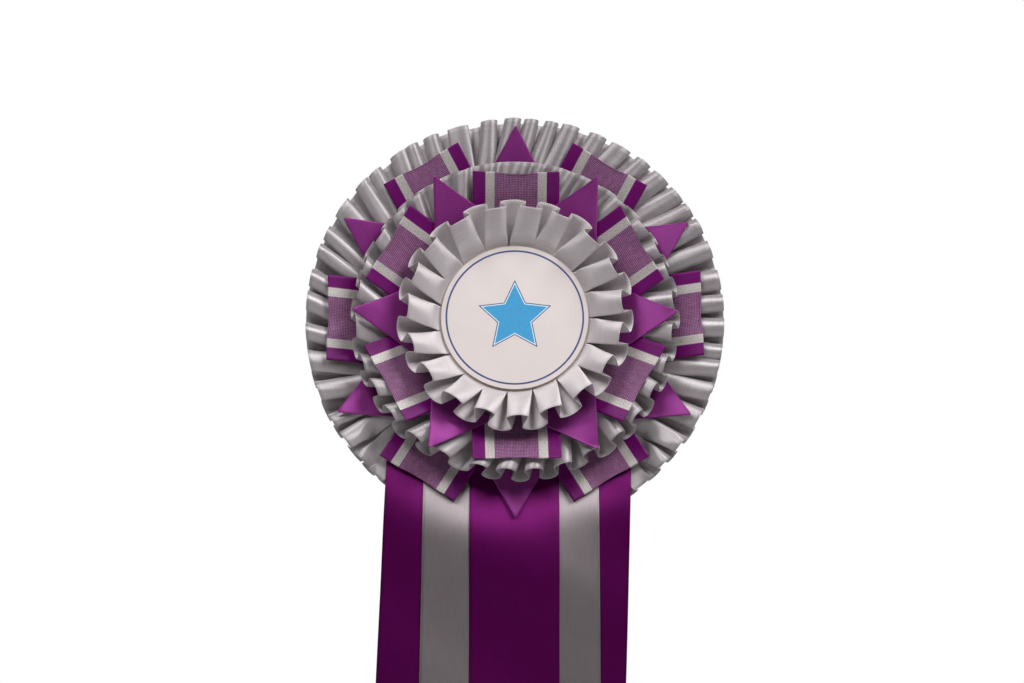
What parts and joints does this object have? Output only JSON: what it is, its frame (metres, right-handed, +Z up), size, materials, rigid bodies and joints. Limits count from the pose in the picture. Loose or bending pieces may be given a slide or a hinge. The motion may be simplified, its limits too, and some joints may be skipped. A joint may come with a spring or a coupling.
{
  "type": "award rosette",
  "caption": "Three-tier pleated award rosette with folded ribbon points and loops, a round printed centre, hanging tails and a brooch bar.",
  "frame": {"origin": "centre of the back cover's rear face", "axes": "+Z up, tails hang towards -Z; the rosette faces -Y and its brooch bar is on +Y; +X to the viewer's right"},
  "size_m": [0.2386, 0.0464, 0.4493],
  "materials": {
    "silver_satin": "satin sheen",
    "purple_satin": "satin sheen",
    "novelty_ribbon": "satin, metallic and organza stripes",
    "thread": "matt",
    "white_card": "matt paperboard",
    "grey_board": "matt paperboard",
    "foam": "matt foam",
    "print": "coated printed paper",
    "steel": "nickel-plated"
  },
  "bodies": {
    "root": {"back_cover": "white_card", "base_card": "grey_board", "centre_board": "grey_board", "centre_foam_pad": "foam", "centre_print": "print", "hinge_rivet": "steel", "inner_card": "grey_board", "inner_frill": "silver_satin", "inner_stitching": "thread", "lower_foam_pad": "foam", "middle_card": "grey_board", "middle_frill": "silver_satin", "middle_loop_1": "novelty_ribbon", "middle_loop_2": "novelty_ribbon", "middle_loop_3": "novelty_ribbon", "middle_loop_4": "novelty_ribbon", "middle_loop_5": "novelty_ribbon", "middle_loop_6": "novelty_ribbon", "middle_point_1": "purple_satin", "middle_point_2": "purple_satin", "middle_point_3": "purple_satin", "middle_point_4": "purple_satin", "middle_point_5": "purple_satin", "middle_point_6": "purple_satin", "middle_stitching": "thread", "outer_frill": "silver_satin", "outer_loop_1": "novelty_ribbon", "outer_loop_2": "novelty_ribbon", "outer_loop_3": "novelty_ribbon", "outer_loop_4": "novelty_ribbon", "outer_loop_5": "novelty_ribbon", "outer_loop_6": "novelty_ribbon", "outer_point_1": "purple_satin", "outer_point_2": "purple_satin", "outer_point_3": "purple_satin", "outer_point_4": "purple_satin", "outer_point_5": "purple_satin", "outer_point_6": "purple_satin", "outer_stitching": "thread", "pin_adhesive_pad": "foam", "pin_base": "steel", "tail_purple_centre": "purple_satin", "tail_purple_left": "purple_satin", "tail_purple_right": "purple_satin", "tail_silver_left": "silver_satin", "tail_silver_right": "silver_satin", "upper_foam_pad": "foam"},
    "needle": {"pin_needle": "steel"},
    "safety_sleeve": {"catch_sleeve": "steel"}
  },
  "joints": [
    {"name": "needle_hinge", "type": "hinge", "parent": "root", "child": "needle", "pos_m": [-0.015, 0.0054, 0.04], "axis": [0, 0, 1], "range_deg": [0, 75]},
    {"name": "catch_turn", "type": "hinge", "parent": "root", "child": "safety_sleeve", "pos_m": [0.0135, 0.0054, 0.04], "axis": [1, 0, 0], "range_deg": [0, 90]}
  ]
}
